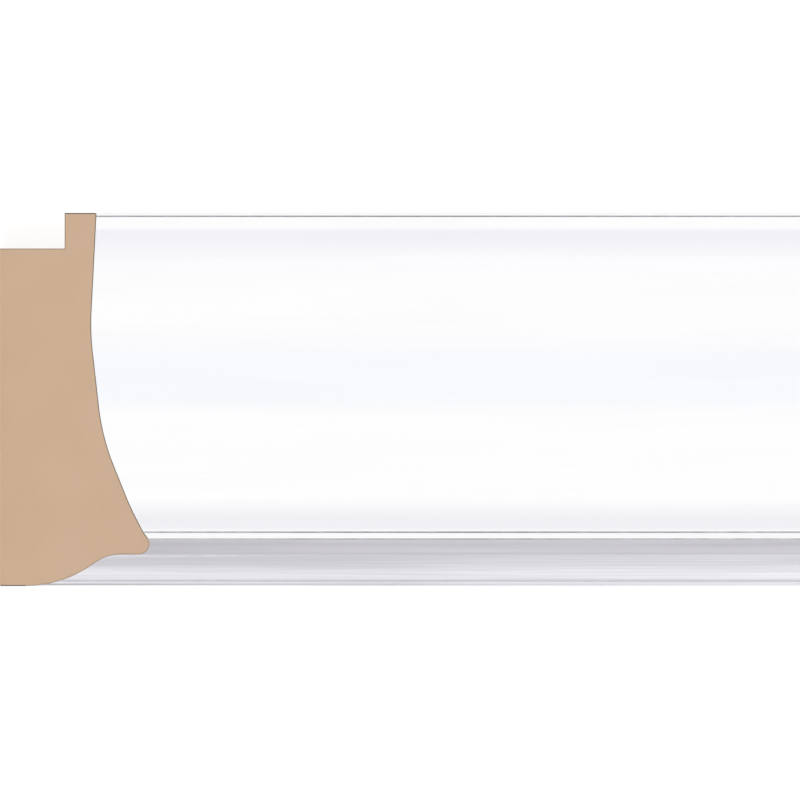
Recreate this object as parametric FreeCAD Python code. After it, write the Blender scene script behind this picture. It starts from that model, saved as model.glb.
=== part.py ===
import FreeCAD, Part
import math
import os

# A stick of white lacquered picture frame moulding, run from one piece of wood stock.
# It lies on its flat back: X runs along the stick, Z rises from the back to the face,
# and -Y is the sight side, where the rabbet holds the glass and the picture.
# The origin is at the middle of the back. All sizes are in millimetres.

# Stock
stock_length = 1219.0
face_width = 66.7
overall_height = 27.0

# Rabbet under the sight edge, and the lip over it
rabbet_width = 6.35
rabbet_depth = 11.7
lip_thickness = 5.75
sight_arris_radius = 0.3

# Scoop of the face: a hollow beside the sight edge, a ramp, and a steeper rise up to the quirk
hollow_reach = 21.2
hollow_drop = 1.08
hollow_radius = 43.0
ramp_reach = 12.7
ramp_drop = 5.15
sweep_radius = 41.0
rise_reach = 4.3
rise_drop = 2.25
rise_radius = 45.0

# Bead along the nose, with a steeper flat that leads up to it from the quirk
bead_radius = 1.9
bead_flat_width = 1.15
bead_flat_slope = 37.5

# Outer side: a short wall under the bead, an ogee, and a square edge at the back
nose_setback = 5.65
nose_wall_height = 3.2
square_edge_height = 4.65
cove_radius = 8.2
base_arris_radius = 0.3

# Lines that the section follows
sight_y = -face_width / 2
outer_y = face_width / 2
heel_y = sight_y + rabbet_width
sight_z = rabbet_depth + lip_thickness
nose_y = outer_y - nose_setback
bead_y = nose_y - bead_radius
bead_z = overall_height - bead_radius
cove_top_z = bead_z - nose_wall_height


def at(y, z):
    """Point of the section on the stick's near sawn end."""
    return FreeCAD.Vector(-stock_length / 2, y, z)


def on_circle(centre, radius, degrees):
    """Point of a circle in the section, its angle counted from +Y towards +Z."""
    angle = math.radians(degrees)
    return centre + FreeCAD.Vector(0, radius * math.cos(angle), radius * math.sin(angle))


def line(start, end):
    return Part.LineSegment(start, end).toShape()


def arc(centre, radius, first, last):
    """Arc of the section between two angles in degrees."""
    angles = (first, (first + last) / 2, last)
    return Part.Arc(*[on_circle(centre, radius, angle) for angle in angles]).toShape()


def corner_arc(before, corner, after, radius):
    """Tangent arc that rounds a corner, within half of either straight beside it."""
    back = (before - corner).normalize()
    ahead = (after - corner).normalize()
    half_angle = back.getAngle(ahead) / 2
    room = min(before.distanceToPoint(corner), after.distanceToPoint(corner)) / 2
    reach = min(radius / math.tan(half_angle), room)
    rounding = reach * math.tan(half_angle)
    inward = (back + ahead).normalize()
    crest = corner + inward * (rounding / math.sin(half_angle) - rounding)
    return Part.Arc(corner + back * reach, crest, corner + ahead * reach).toShape()


def rounded_run(corners):
    """Edges through a row of (point, radius) corners; a radius of 0 leaves a corner sharp."""
    edges = []
    start = corners[0][0]
    for index in range(1, len(corners)):
        corner, radius = corners[index]
        if radius == 0:
            edges.append(line(start, corner))
            start = corner
            continue
        rounding = corner_arc(corners[index - 1][0], corner, corners[index + 1][0], radius)
        edges.append(line(start, rounding.Vertexes[0].Point))
        edges.append(rounding)
        start = rounding.Vertexes[-1].Point
    return edges


def back_and_face():
    """From the square outer edge round the back, the rabbet, the lip and the scoop to the bead."""
    sight_edge = at(sight_y, sight_z)
    hollow = sight_edge + FreeCAD.Vector(0, hollow_reach, -hollow_drop)
    flat_top = on_circle(at(bead_y, bead_z), bead_radius, 90 + bead_flat_slope)
    quirk = on_circle(flat_top, bead_flat_width, 180 + bead_flat_slope)
    rise_foot = quirk - FreeCAD.Vector(0, rise_reach, rise_drop)
    ramp_foot = rise_foot - FreeCAD.Vector(0, ramp_reach, ramp_drop)
    return rounded_run([
        (at(outer_y, square_edge_height), 0),
        (at(outer_y, 0), base_arris_radius),
        (at(heel_y, 0), 0),
        (at(heel_y, rabbet_depth), 0),
        (at(sight_y, rabbet_depth), 0),
        (sight_edge, sight_arris_radius),
        (hollow, hollow_radius),
        (ramp_foot, sweep_radius),
        (rise_foot, rise_radius),
        (quirk, 0),
        (flat_top, 0),
    ])


def bead():
    """From its flat over the crown of the nose to the outer side."""
    return [arc(at(bead_y, bead_z), bead_radius, 90 + bead_flat_slope, 0)]


def outer_side():
    """Down the nose's wall, through the cove, and out over the round of the ogee."""
    ogee_height = cove_top_z - square_edge_height
    radii = (ogee_height ** 2 + nose_setback ** 2) / (2 * nose_setback)
    round_radius = radii - cove_radius
    sweep = math.degrees(math.asin(ogee_height / radii))
    cove_centre = at(nose_y + cove_radius, cove_top_z)
    round_centre = at(outer_y - round_radius, square_edge_height)
    return [
        line(at(nose_y, bead_z), at(nose_y, cove_top_z)),
        arc(cove_centre, cove_radius, 180, 180 + sweep),
        arc(round_centre, round_radius, sweep, 0),
    ]


def make_moulding():
    section = Part.Face(Part.Wire(back_and_face() + bead() + outer_side()))
    return section.extrude(FreeCAD.Vector(stock_length, 0, 0))


os.makedirs("parts", exist_ok=True)
moulding = make_moulding()
moulding.exportStep("parts/moulding.step")
print("section area", round(moulding.Volume / stock_length, 1), "mm2")
print("solid is valid:", moulding.isValid(), "box:", moulding.BoundBox)
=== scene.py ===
import bmesh
import bpy
import math
from mathutils import Matrix, Vector


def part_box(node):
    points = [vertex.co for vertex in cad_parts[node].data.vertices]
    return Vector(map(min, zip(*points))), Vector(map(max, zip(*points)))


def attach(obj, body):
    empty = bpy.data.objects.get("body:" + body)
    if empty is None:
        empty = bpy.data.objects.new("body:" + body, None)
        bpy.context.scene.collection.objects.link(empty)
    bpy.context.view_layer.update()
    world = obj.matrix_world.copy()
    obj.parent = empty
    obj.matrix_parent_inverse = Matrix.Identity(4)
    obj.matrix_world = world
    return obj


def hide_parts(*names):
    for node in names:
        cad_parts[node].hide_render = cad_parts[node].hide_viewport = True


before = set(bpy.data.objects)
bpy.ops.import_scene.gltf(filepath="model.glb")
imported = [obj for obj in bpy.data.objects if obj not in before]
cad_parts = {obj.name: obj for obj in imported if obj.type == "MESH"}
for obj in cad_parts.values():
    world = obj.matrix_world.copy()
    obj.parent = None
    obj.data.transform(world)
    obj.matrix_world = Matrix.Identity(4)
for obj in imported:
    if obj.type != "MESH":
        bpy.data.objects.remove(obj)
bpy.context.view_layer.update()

# A stick of white lacquered frame moulding. X runs along it, Z rises from its back to its
# face, and its sight edge is on the -Y side. Its right end, at high.x, is the one that the
# photo shows. Sizes are in metres.

MM = 0.001
low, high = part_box("moulding")
length = high.x - low.x
sight_y = low.y
outer_y = high.y
crown_z = high.z

# Rabbet and lip
rabbet_width = 6.35 * MM
rabbet_depth = 11.7 * MM
lip_thickness = 5.75 * MM
sight_arris = 0.3 * MM

# Scoop of the face
hollow_reach = 21.2 * MM
hollow_drop = 1.08 * MM
hollow_radius = 43 * MM
ramp_reach = 12.7 * MM
ramp_drop = 5.15 * MM
sweep_radius = 41 * MM
rise_reach = 4.3 * MM
rise_drop = 2.25 * MM
rise_radius = 45 * MM

# Bead and the flat that leads up to it
bead_radius = 1.9 * MM
bead_flat_width = 1.15 * MM
bead_flat_slope = math.radians(37.5)

# Outer side
nose_setback = 5.65 * MM
nose_wall_height = 3.2 * MM
square_edge_height = 4.65 * MM
cove_radius = 8.2 * MM
base_arris = 0.3 * MM

# Lines that the section follows
heel_y = sight_y + rabbet_width
nose_y = outer_y - nose_setback
bead_y = nose_y - bead_radius
bead_z = crown_z - bead_radius
cove_top_z = bead_z - nose_wall_height

# Fine lines scored along the face: one in from the sight edge, one in the quirk, one past the
# bead's flat, and two in from the outer edge, on the ogee and by the base
sight_line = 0.59 * MM
bead_line = 0.3 * MM
ogee_line = 0.94 * MM
base_line = 0.32 * MM
sight_line_width = 0.26 * MM
quirk_line_width = 0.3 * MM
ogee_line_width = 0.45 * MM
line_width = 0.22 * MM
line_depth = 0.05 * MM

# The coat's thickness at the sawn ends, and where the stretch by the right end starts
coat_thickness = 0.17 * MM
# From there on, painted highlights lie below the nose and the base line's painted shade is darker
end_stretch_from = high.x - 0.3

# Places of the finishes in the order that build_stick lists them
WHITE, RAW, SAWN, FILM, ARRIS, PAINTED_SHADE, SCORED, BEAD_SIDE_RIM = range(8)

# How far a face's normal reaches along an axis that it is square to, or that it is turned to
square_on = 0.9
turned_to = 0.03

# How near a face lies to a plane that it is part of, how near points are welded, and the
# angle from which an edge is crisp
in_plane = 0.1 * MM
weld = 0.001 * MM
weld_on_cut = 0.002 * MM
crease = math.radians(13)

# Framing in pixels of the photo, which is square: the section's width, the row of its sight
# edge, and how far its back lies past the left side
photo_px = 800
section_px = 373
sight_row = 213
back_past_side = 0.3
px = (outer_y - sight_y) / section_px
view_slope = math.radians(7)
camera_distance = 1.5

# Bench top, and its tones to the rays that show it
floor_reach = 6
floor_drop = 0.02 * MM
floor_white = 0.8
shadow_white = 0.22
floor_glow = 0.88
room_light = 0.5


def on_circle(centre, radius, angle):
    """Point of a circle in the section, its angle counted from +Y towards +Z."""
    return centre + Vector((0, radius * math.cos(angle), radius * math.sin(angle)))


class Outline:
    """Outline of the section at the right end, drawn one stretch after another."""

    def __init__(self, bm, start):
        self.bm = bm
        self.tip = bm.verts.new(start)
        self.first = self.tip

    def straight(self, end):
        made = bmesh.ops.extrude_vert_indiv(self.bm, verts=[self.tip])
        self.tip = made["verts"][0]
        self.tip.co = end

    def turn(self, centre, angle, steps):
        made = bmesh.ops.spin(
            self.bm, geom=[self.tip], cent=centre, axis=(1, 0, 0), angle=angle, steps=steps
        )
        self.tip = next(g for g in made["geom_last"] if isinstance(g, bmesh.types.BMVert))

    def corner(self, at, after, radius, steps):
        """A straight up to a corner, rounded by a tangent arc towards the next point."""
        back = (self.tip.co - at).normalized()
        ahead = (after - at).normalized()
        half_angle = back.angle(ahead) / 2
        reach = radius / math.tan(half_angle)
        centre = at + (back + ahead).normalized() * (radius / math.sin(half_angle))
        side = back.cross(ahead).x
        self.straight(at + back * reach)
        self.turn(centre, math.copysign(math.pi - 2 * half_angle, -side), steps)

    def close(self):
        bmesh.ops.contextual_create(self.bm, geom=[self.tip, self.first])
        bmesh.ops.contextual_create(self.bm, geom=self.bm.edges[:])
        bmesh.ops.remove_doubles(self.bm, verts=self.bm.verts, dist=weld)


def draw_section(bm):
    """The milled section, from the square outer edge round the back to the bead and the ogee."""

    def at(y, z):
        return Vector((high.x, y, z))

    sight_edge = at(sight_y, rabbet_depth + lip_thickness)
    hollow = sight_edge + Vector((0, hollow_reach, -hollow_drop))
    flat_top = on_circle(at(bead_y, bead_z), bead_radius, math.pi / 2 + bead_flat_slope)
    quirk = on_circle(flat_top, bead_flat_width, math.pi + bead_flat_slope)
    rise_foot = quirk - Vector((0, rise_reach, rise_drop))
    ramp_foot = rise_foot - Vector((0, ramp_reach, ramp_drop))
    ogee_height = cove_top_z - square_edge_height
    radii = (ogee_height**2 + nose_setback**2) / (2 * nose_setback)
    sweep = math.asin(ogee_height / radii)
    round_centre = at(outer_y - (radii - cove_radius), square_edge_height)

    outline = Outline(bm, at(outer_y, square_edge_height))
    outline.corner(at(outer_y, 0), at(heel_y, 0), base_arris, steps=8)
    outline.straight(at(heel_y, 0))
    outline.straight(at(heel_y, rabbet_depth))
    outline.straight(at(sight_y, rabbet_depth))
    outline.corner(sight_edge, hollow, sight_arris, steps=8)
    outline.corner(hollow, ramp_foot, hollow_radius, steps=20)
    outline.corner(ramp_foot, rise_foot, sweep_radius, steps=20)
    outline.corner(rise_foot, quirk, rise_radius, steps=8)
    outline.straight(quirk)
    outline.straight(flat_top)
    outline.turn(at(bead_y, bead_z), -(math.pi / 2 + bead_flat_slope), steps=32)
    outline.straight(at(nose_y, cove_top_z))
    outline.turn(at(nose_y + cove_radius, cove_top_z), sweep, steps=16)
    outline.turn(round_centre, -sweep, steps=24)
    outline.close()
    return {"quirk": quirk.y, "flat_top": flat_top.y}


def cut_line(bm, y, width):
    """A fine line along the face at one distance across, scored by the moulding knife."""

    def upper():
        """The faces that are turned up, with their edges and points, each once."""
        faces = [f for f in bm.faces if f.normal.z > turned_to and not is_end(f)]
        edges = dict.fromkeys(e for f in faces for e in f.edges)
        verts = dict.fromkeys(v for f in faces for v in f.verts)
        return [*faces, *edges, *verts]

    for offset in (-width / 2, width / 2, 0):
        bmesh.ops.bisect_plane(
            bm, geom=upper(), dist=weld_on_cut, plane_co=(0, y + offset, 0), plane_no=(0, 1, 0)
        )
        bm.normal_update()
    least_share = 0.03
    bed = {}
    for vert in bm.verts:
        share = 1 - abs(vert.co.y - y) / (width / 2)
        if share > least_share and vert.normal.z > turned_to:
            bed[vert] = share
    for vert, share in bed.items():
        across = Vector((0, vert.normal.y, vert.normal.z)).normalized()
        vert.co -= across * (line_depth * share)
    return {f for v in bed for f in v.link_faces if not is_end(f)}


def is_end(face):
    return abs(face.normal.x) > square_on


def is_back(face):
    return face.normal.z < -square_on and face.calc_center_median().z < rabbet_depth / 2


def is_raw(face):
    """The back, the rabbet's ledge and its wall are left unpainted."""
    from_heel = abs(face.calc_center_median().y - heel_y)
    on_wall = face.normal.y < -square_on and from_heel < in_plane
    return face.normal.z < -square_on or on_wall


def rim_finish(face, painted_shade_y):
    """Finish of a face in the rim of an end, by the side that it borders. The back has no rim."""
    beside = [f for e in face.edges for f in e.link_faces if not is_end(f)]
    if any(is_back(f) for f in beside):
        return SAWN
    if any(is_raw(f) for f in beside):
        return ARRIS
    middles = [f.calc_center_median() for f in beside]
    painted_shade_side = any(m.y > painted_shade_y and m.z > square_edge_height for m in middles)
    return BEAD_SIDE_RIM if painted_shade_side else FILM


def name_finishes(bm, ends, scored, painted_shade_y):
    """Gives each face the place of its finish, and keeps the section's corners crisp."""
    for face in bm.faces:
        face.smooth = not is_end(face)
        if face in ends:
            face.material_index = SAWN
        elif is_end(face):
            face.material_index = rim_finish(face, painted_shade_y)
        elif is_raw(face):
            face.material_index = RAW
        elif face in scored:
            face.material_index = SCORED
        else:
            face.material_index = PAINTED_SHADE if face.calc_center_median().y > painted_shade_y else WHITE
    for edge in bm.edges:
        edge.smooth = edge.calc_face_angle(0) < crease


def build_stick():
    """The stick: its section run along X, with the coat's cut edge round each sawn end."""
    finishes = [
        white_lacquer(), raw_wood(), sawn_end(), film_edge(), sawn_arris(), painted_shade_lacquer(),
        score_line(), bead_side_edge(),
    ]
    bm = bmesh.new()
    lines = draw_section(bm)
    made = bmesh.ops.extrude_face_region(bm, geom=bm.faces[:])
    moved = [g for g in made["geom"] if isinstance(g, bmesh.types.BMVert)]
    bmesh.ops.translate(bm, verts=moved, vec=(-length, 0, 0))
    bmesh.ops.recalc_face_normals(bm, faces=bm.faces)
    ends = [f for f in bm.faces if is_end(f)]
    bmesh.ops.inset_region(bm, faces=ends, thickness=coat_thickness, use_even_offset=True)
    bm.normal_update()
    # The painted shade on the bead side starts at the line past the bead's flat
    painted_shade_y = lines["flat_top"] + bead_line
    scored = cut_line(bm, sight_y + sight_line, sight_line_width)
    scored |= cut_line(bm, lines["quirk"], quirk_line_width)
    scored |= cut_line(bm, painted_shade_y, line_width)
    scored |= cut_line(bm, outer_y - ogee_line, ogee_line_width)
    scored |= cut_line(bm, outer_y - base_line, line_width)
    bm.normal_update()
    name_finishes(bm, set(ends), scored, painted_shade_y)
    mesh = bpy.data.meshes.new("moulding_stick")
    bm.to_mesh(mesh)
    bm.free()
    for finish in finishes:
        mesh.materials.append(finish)
    stick = bpy.data.objects.new("moulding_stick", mesh)
    bpy.context.scene.collection.objects.link(stick)
    return stick


class Finish:
    """A node material, with short calls that add nodes to it."""

    def __init__(self, name):
        self.material = bpy.data.materials.new(name)
        self.material.use_nodes = True
        self.tree = self.material.node_tree
        self.shader = self.tree.nodes["Principled BSDF"]
        self.place = self.tree.nodes.new("ShaderNodeTexCoord").outputs["Object"]

    def link(self, source, socket):
        self.tree.links.new(source, socket)

    def grain(self, per_metre, detail):
        """Noise with a count of cells in a metre of X, Y and Z; a low count draws it out there."""
        mapping = self.tree.nodes.new("ShaderNodeMapping")
        mapping.inputs["Scale"].default_value = per_metre
        noise = self.tree.nodes.new("ShaderNodeTexNoise")
        noise.inputs["Scale"].default_value = 1
        noise.inputs["Detail"].default_value = detail
        self.link(self.place, mapping.inputs["Vector"])
        self.link(mapping.outputs["Vector"], noise.inputs["Vector"])
        return noise.outputs["Fac"]

    def span(self, source, start, end, first, last):
        """Maps a value from one range to another, held at both ends."""
        node = self.tree.nodes.new("ShaderNodeMapRange")
        node.inputs["From Min"].default_value = start
        node.inputs["From Max"].default_value = end
        node.inputs["To Min"].default_value = first
        node.inputs["To Max"].default_value = last
        self.link(source, node.inputs["Value"])
        return node.outputs["Result"]

    def vary(self, noise, first, last):
        """Spreads a noise over a range of values; most of it lies between 0.3 and 0.7."""
        return self.span(noise, 0.3, 0.7, first, last)

    def combine(self, operation, first, second):
        node = self.tree.nodes.new("ShaderNodeMath")
        node.operation = operation
        self.link(first, node.inputs[0])
        self.link(second, node.inputs[1])
        return node.outputs["Value"]

    def sum(self, first, second):
        return self.combine("ADD", first, second)

    def product(self, first, second):
        return self.combine("MULTIPLY", first, second)

    def larger(self, first, second):
        return self.combine("MAXIMUM", first, second)

    def mix(self, share, first, second):
        """Colour between two colours or colour outputs, by a value from 0 to 1."""
        node = self.tree.nodes.new("ShaderNodeMix")
        node.data_type = "RGBA"
        colour_a, colour_b = node.inputs[6], node.inputs[7]
        colour_out = node.outputs[2]
        self.link(share, node.inputs["Factor"])
        for colour, socket in ((first, colour_a), (second, colour_b)):
            if isinstance(colour, tuple):
                socket.default_value = (*colour, 1)
            else:
                self.link(colour, socket)
        return colour_out

    def axis(self, name):
        node = self.tree.nodes.new("ShaderNodeSeparateXYZ")
        self.link(self.place, node.inputs["Vector"])
        return node.outputs[name]

    def relief(self, height, distance, under=None):
        """Bump of a real height in metres, over another bump if one is given."""
        node = self.tree.nodes.new("ShaderNodeBump")
        node.inputs["Strength"].default_value = 1
        node.inputs["Distance"].default_value = distance
        self.link(height, node.inputs["Height"])
        if under is not None:
            self.link(under, node.inputs["Normal"])
        return node.outputs["Normal"]

    def across(self, stops):
        """Colour by the distance from the sight edge, between (millimetres, colour) stops."""
        ramp = self.tree.nodes.new("ShaderNodeValToRGB")
        elements = ramp.color_ramp.elements
        width = (outer_y - sight_y) / MM
        for index, (distance, colour) in enumerate(stops):
            stop = elements[index] if index < 2 else elements.new(1)
            stop.position = distance / width
            stop.color = (*colour, 1)
        self.link(self.span(self.axis("Y"), sight_y, outer_y, 0, 1), ramp.inputs["Fac"])
        return ramp.outputs["Color"]

    def ridge(self, middle, reach):
        """1 along the stick at a place on Y, falling to 0 at a reach to either side of it."""
        y = self.axis("Y")
        rise = self.span(y, middle - reach, middle, 0, 1)
        fall = self.span(y, middle, middle + reach, 1, 0)
        return self.product(rise, fall)

    def shade(self, colour, factor):
        """A colour made lighter or darker by a factor about 1."""
        node = self.tree.nodes.new("ShaderNodeHueSaturation")
        self.link(colour, node.inputs["Color"])
        self.link(factor, node.inputs["Value"])
        return node.outputs["Color"]

    def set(self, socket, value):
        self.link(value, self.shader.inputs[socket])


def lacquer(name, tones, contrast):
    """Sprayed satin lacquer, with painted reflections and shade in tones across it, orange peel and
    drawn streaks.
    """
    finish = Finish(name)
    streaks = finish.grain((4, 2800, 2800), detail=3)
    drift = finish.grain((2, 260, 260), detail=2)
    peel = finish.grain((650, 650, 650), detail=1)
    drawn = finish.span(finish.sum(streaks, drift), 0.7, 1.3, 1 - contrast, 1 + contrast)
    finish.set("Roughness", finish.vary(streaks, 0.36, 0.46))
    finish.set("Normal", finish.relief(peel, 0.012 * MM, finish.relief(streaks, 0.006 * MM)))
    return finish, finish.shade(finish.across(tones), drawn)


def white_lacquer():
    """White of the scoop: painted reflections in lilac by the sight edge and cool along the middle,
    painted shade by the quirk.
    """
    white = (0.92, 0.92, 0.93)
    off_white = (0.905, 0.905, 0.92)
    grey_white = (0.885, 0.885, 0.91)
    lilac_reflection = (0.80, 0.80, 0.85)
    pale_lilac_reflection = (0.84, 0.84, 0.88)
    faint_lilac_reflection = (0.90, 0.90, 0.92)
    cool_reflection = (0.87, 0.88, 0.93)
    quirk_shade = (0.82, 0.81, 0.85)
    painted_highlight = (0.945, 0.945, 0.95)
    # Painted reflections and shade across the scoop: a lilac band by the sight edge, off-white and
    # grey-white steps into a cool band along the middle, painted shade by the quirk, and painted
    # highlights on the ramp and the bead's flat
    tones = [
        (0, white), (2.6, white), (3.3, lilac_reflection), (4.4, lilac_reflection), (6, pale_lilac_reflection), (8.5, faint_lilac_reflection),
        (12, white), (20.5, white), (22, off_white), (24.3, grey_white), (25.2, cool_reflection), (33, cool_reflection),
        (36, white), (44, painted_highlight), (51, painted_highlight), (54.6, quirk_shade), (56.3, quirk_shade), (57, painted_highlight),
        (60, painted_highlight),
    ]
    finish, tone = lacquer("white_lacquer", tones, 0.02)
    finish.set("Base Color", tone)
    return finish.material


def painted_shade_lacquer():
    """Painted shade in grey over the bead, which fades through the cove and lightens from the right
    end along the stick.

    By the right end, broken dashes of painted highlight lie below the nose.
    """
    edge = (0.46, 0.447, 0.486)
    grey = (0.392, 0.375, 0.422)
    low_bead = (0.478, 0.46, 0.508)
    nose = (0.545, 0.526, 0.59)
    cove_top = (0.725, 0.705, 0.775)
    cove = (0.70, 0.68, 0.75)
    white = (0.955, 0.94, 1)
    glint_white = (0.92, 0.91, 0.94)
    # Painted shade: grey over the bead and the nose wall, paler through the cove, white on the
    # ogee's belly
    tones = [
        (58, edge), (58.75, edge), (59.05, grey), (59.25, grey), (59.7, edge), (60, low_bead),
        (60.5, nose), (61, nose), (61.2, cove_top), (61.7, cove), (62.8, cove), (64.5, white),
        (66.7, white),
    ]
    finish, tone = lacquer("painted_shade_lacquer", tones, 0.2)
    x = finish.axis("X")
    # The painted shade is darker at the right end and lighter along the stick, more so on the bead
    # than on the ogee
    on_bead = finish.shade(tone, finish.span(x, low.x, high.x, 1.14, 0.86))
    on_ogee = finish.shade(tone, finish.span(x, low.x, high.x, 1.035, 0.95))
    past_nose = finish.span(finish.axis("Y"), nose_y, nose_y + 0.2 * MM, 0, 1)
    tone = finish.mix(past_nose, on_bead, on_ogee)
    # Painted highlights: broken white dashes just below the nose, by the right end
    dashes = finish.span(finish.grain((40, 0, 0), detail=3), 0.46, 0.54, 0, 1)
    near_end = finish.span(x, end_stretch_from, high.x - 0.16, 0.1, 0.9)
    below_nose = finish.ridge(nose_y + 0.2 * MM, 0.14 * MM)
    glints = finish.product(finish.product(dashes, near_end), below_nose)
    finish.set("Base Color", finish.mix(glints, tone, glint_white))
    return finish.material


def score_line():
    """Bed of a scored line: thin lacquer, darkened with painted shade of the crease.

    On the face the painted shade is patchy, and darkest part of the way along. Beyond the bead it is
    even, but in the line by the base it is darkest at the right end and lightens along the stick.
    """
    finish = Finish("score_line")
    patches = finish.grain((45, 150, 0), detail=3)
    deep = (0.25, 0.25, 0.28)
    quirk = (0.34, 0.34, 0.37)
    shallow = (0.37, 0.365, 0.40)
    faint = (0.72, 0.705, 0.76)
    # Painted shade in the lines: darkest in the sight line, less in the quirk and past the bead's
    # flat, faint on the side
    tones = [
        (0, deep), (50, deep), (56, quirk), (57.6, quirk), (57.9, shallow), (60, shallow),
        (64, faint), (66.7, faint),
    ]
    x = finish.axis("X")
    y = finish.axis("Y")
    # The painted shade is darkest part of the way along, lighter towards both ends
    darkest_at = high.x - 0.45
    near = finish.span(x, darkest_at, high.x, 0.84, 1.2)
    far = finish.span(x, low.x, darkest_at, 1.4, 0.84)
    plain = finish.across(tones)
    shaded_along = finish.shade(plain, finish.larger(near, far))
    on_face = finish.shade(shaded_along, finish.vary(patches, 0.7, 1.3))
    on_ogee = finish.shade(plain, finish.vary(patches, 0.93, 1.07))
    # In the base line the painted shade is darkest at the right end and lighter along the stick
    lighter_along = finish.span(x, high.x - 0.95, high.x, 1.28, 0.74)
    near_end = finish.span(x, end_stretch_from, high.x, 1, 0.72)
    by_base = finish.shade(on_ogee, finish.product(lighter_along, near_end))
    between_lines = outer_y - (ogee_line + base_line) / 2
    past_ogee = finish.span(y, between_lines - 0.05 * MM, between_lines + 0.05 * MM, 0, 1)
    past_bead = finish.span(y, bead_y, nose_y, 0, 1)
    on_side = finish.mix(past_ogee, on_ogee, by_base)
    finish.set("Base Color", finish.mix(past_bead, on_face, on_side))
    finish.set("Roughness", finish.vary(patches, 0.6, 0.8))
    return finish.material


def raw_wood():
    """Milled wood of the back and the rabbet, with lengthwise grain and overspray at its arrises."""
    tan = (0.66, 0.47, 0.325)
    dark_grain = (0.53, 0.36, 0.235)
    pale_band = (0.70, 0.52, 0.365)
    mist = (0.84, 0.83, 0.82)
    finish = Finish("raw_wood")
    grain = finish.grain((22, 1500, 1500), detail=4)
    bands = finish.grain((3, 160, 160), detail=2)
    wood = finish.mix(finish.span(grain, 0.35, 0.7, 0, 1), tan, dark_grain)
    wood = finish.mix(finish.span(bands, 0.4, 0.65, 0, 0.5), wood, pale_band)
    finish.set("Base Color", finish.mix(overspray(finish), wood, mist))
    finish.set("Roughness", finish.vary(grain, 0.72, 0.86))
    finish.set("Normal", finish.relief(grain, 0.05 * MM))
    return finish.material


def overspray(finish):
    """Share of white mist: it reaches round the arrises of the wall, the ledge and the back."""
    up_wall = 1.6 * MM
    past_heel = 1.2 * MM
    past_arris = 2.5 * MM
    y = finish.axis("Y")
    low_wall = finish.span(finish.axis("Z"), 0, up_wall, 1, 0)
    by_heel = finish.span(y, heel_y, heel_y + past_heel, 1, 0)
    wall = finish.product(low_wall, by_heel)
    outer = finish.span(y, outer_y - past_arris, outer_y, 0, 1)
    sight = finish.span(y, sight_y, sight_y + past_arris, 1, 0)
    near = finish.larger(finish.larger(wall, outer), sight)
    specks = finish.grain((3000, 3000, 3000), detail=1)
    wisps = finish.grain((60, 500, 500), detail=3)
    return finish.product(near, finish.span(finish.sum(specks, wisps), 0.8, 1.3, 0, 0.9))


def sawn_end():
    """Square sawn end: close tan fibre with a fine speckle and the saw's faint strokes."""
    dark = (0.58, 0.40, 0.27)
    tan = (0.63, 0.445, 0.305)
    pale = (0.64, 0.46, 0.32)
    finish = Finish("sawn_end")
    fibre = finish.grain((4200, 4200, 4200), detail=3)
    cloud = finish.grain((120, 120, 120), detail=2)
    strokes = finish.grain((1, 60, 1500), detail=2)
    wood = finish.mix(finish.vary(fibre, 0, 1), dark, tan)
    wood = finish.mix(finish.span(cloud, 0.4, 0.7, 0, 0.35), wood, pale)
    finish.set("Base Color", wood)
    finish.set("Roughness", finish.vary(fibre, 0.8, 0.92))
    finish.set("Normal", finish.relief(finish.sum(fibre, strokes), 0.02 * MM))
    return finish.material


def cut_rim(name, light, dark, at_edges=1):
    """Thin rim of the sawn end, darker than the wood, and by a factor more at both edges."""
    finish = Finish(name)
    fibre = finish.grain((5200, 5200, 5200), detail=2)
    darkest = 0.1 * MM
    plain = 0.3 * MM
    y = finish.axis("Y")
    from_sight = finish.span(y, sight_y + darkest, sight_y + plain, at_edges, 1)
    from_outer = finish.span(y, outer_y - plain, outer_y - darkest, 1, at_edges)
    tone = finish.mix(finish.vary(fibre, 0, 1), dark, light)
    finish.set("Base Color", finish.shade(tone, finish.product(from_sight, from_outer)))
    finish.set("Roughness", finish.vary(fibre, 0.6, 0.8))
    return finish.material


def film_edge():
    """Cut edge of the primer and lacquer round the painted sides, darkest at the square edges."""
    return cut_rim("film_edge", (0.22, 0.17, 0.13), (0.13, 0.10, 0.08), at_edges=0.2)


def bead_side_edge():
    """Cut edge of the coat round the bead and the ogee, paler than round the white sides."""
    return cut_rim("bead_side_edge", (0.44, 0.34, 0.255), (0.33, 0.25, 0.185))


def sawn_arris():
    """Bruised arris along the unpainted sides of the sawn end."""
    return cut_rim("sawn_arris", (0.36, 0.255, 0.18), (0.28, 0.20, 0.135))


def shown_rays(tree):
    """1 for the rays that show the background as such: camera, glossy and transmission rays."""
    rays = tree.nodes.new("ShaderNodeLightPath").outputs
    shown = rays["Is Camera Ray"]
    for name in ("Is Glossy Ray", "Is Transmission Ray"):
        either = tree.nodes.new("ShaderNodeMath")
        either.operation = "MAXIMUM"
        tree.links.new(shown, either.inputs[0])
        tree.links.new(rays[name], either.inputs[1])
        shown = either.outputs["Value"]
    return shown


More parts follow.
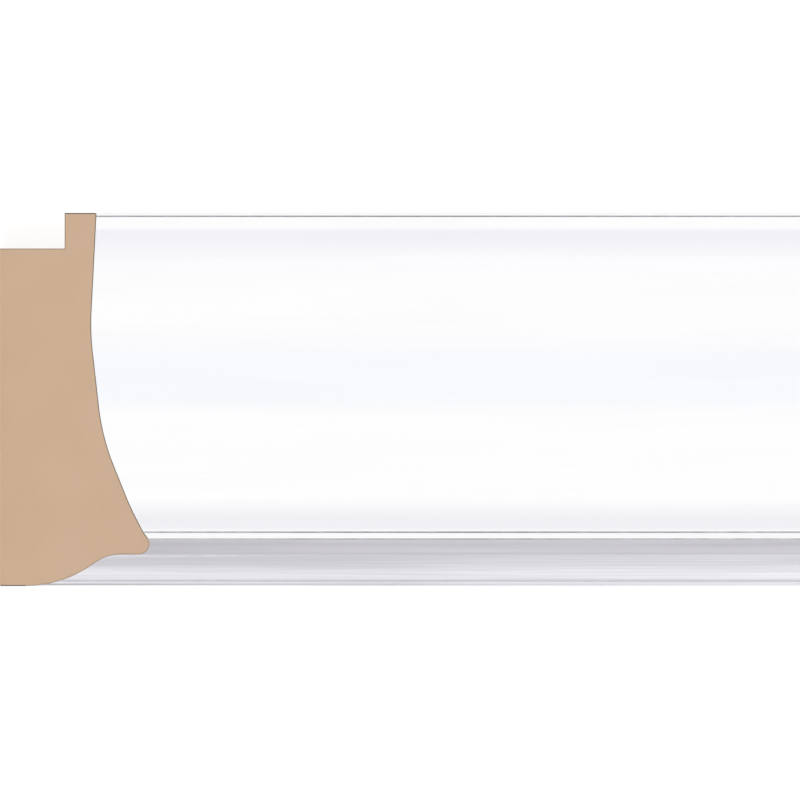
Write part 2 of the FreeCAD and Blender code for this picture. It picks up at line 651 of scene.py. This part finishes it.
def pale_floor():
    """Plain white to the light, and near white to the camera with only a faint shadow on it."""
    material = bpy.data.materials.new("pale_floor")
    material.use_nodes = True
    tree = material.node_tree
    tree.nodes.clear()

    def node(kind):
        return tree.nodes.new(kind)

    plain = node("ShaderNodeBsdfDiffuse")
    plain.inputs["Color"].default_value = (floor_white, floor_white, floor_white, 1)
    faint = node("ShaderNodeBsdfDiffuse")
    faint.inputs["Color"].default_value = (shadow_white, shadow_white, shadow_white, 1)
    glow = node("ShaderNodeEmission")
    glow.inputs["Strength"].default_value = floor_glow
    shown = node("ShaderNodeAddShader")
    tree.links.new(faint.outputs["BSDF"], shown.inputs[0])
    tree.links.new(glow.outputs["Emission"], shown.inputs[1])
    either = node("ShaderNodeMixShader")
    tree.links.new(shown_rays(tree), either.inputs["Fac"])
    tree.links.new(plain.outputs["BSDF"], either.inputs[1])
    tree.links.new(shown.outputs["Shader"], either.inputs[2])
    out = node("ShaderNodeOutputMaterial")
    tree.links.new(either.outputs["Shader"], out.inputs["Surface"])
    return material


def make_floor():
    """A wide bench top just below the stick, which takes its shadow."""
    bm = bmesh.new()
    bmesh.ops.create_grid(bm, x_segments=1, y_segments=1, size=floor_reach)
    bmesh.ops.translate(bm, verts=bm.verts, vec=(0, 0, -floor_drop))
    mesh = bpy.data.meshes.new("floor")
    bm.to_mesh(mesh)
    bm.free()
    mesh.materials.append(pale_floor())
    floor = bpy.data.objects.new("floor", mesh)
    bpy.context.scene.collection.objects.link(floor)


def make_lamp(name, towards, strength, softness):
    """A wide soft lamp, as strong along the whole stick."""
    data = bpy.data.lights.new(name, "SUN")
    data.energy = strength
    data.angle = math.radians(softness)
    lamp = bpy.data.objects.new(name, data)
    lamp.rotation_mode = "QUATERNION"
    lamp.rotation_quaternion = Vector(towards).to_track_quat("Z", "Y")
    bpy.context.scene.collection.objects.link(lamp)


def light_room():
    """Even light from all round, which shows as white, and two lamps: overhead and at the end."""
    world = bpy.data.worlds.new("room")
    world.use_nodes = True
    tree = world.node_tree
    background = tree.nodes["Background"]
    background.inputs["Color"].default_value = (1, 1, 1, 1)
    level = tree.nodes.new("ShaderNodeMapRange")
    level.inputs["To Min"].default_value = room_light
    level.inputs["To Max"].default_value = 1
    tree.links.new(shown_rays(tree), level.inputs["Value"])
    tree.links.new(level.outputs["Result"], background.inputs["Strength"])
    bpy.context.scene.world = world
    make_lamp("overhead", towards=(0.30, -0.05, 0.95), strength=0.53 * math.pi, softness=50)
    make_lamp("end_fill", towards=(1, 0, 0.2), strength=0.17 * math.pi, softness=40)


def make_camera():
    """A parallel view along the stick, a little above the bench, with the sight edge up."""
    data = bpy.data.cameras.new("camera")
    data.type = "ORTHO"
    data.ortho_scale = photo_px * px
    camera = bpy.data.objects.new("camera", data)
    bpy.context.scene.collection.objects.link(camera)
    right = Vector((-math.sin(view_slope), 0, math.cos(view_slope)))
    up = Vector((0, -1, 0))
    back = right.cross(up)
    mid_y = sight_y + (photo_px / 2 - sight_row) * px
    middle = Vector((high.x, mid_y, 0)) + right * ((photo_px / 2 + back_past_side) * px)
    turn = Matrix((right, up, back)).transposed().to_4x4()
    camera.matrix_world = Matrix.Translation(middle + back * camera_distance) @ turn
    data.clip_start = 0.01
    data.clip_end = 20
    bpy.context.scene.camera = camera


stick = build_stick()
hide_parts("moulding")
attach(stick, "root")
make_floor()
light_room()
make_camera()

bpy.context.scene.view_settings.view_transform = "Standard"
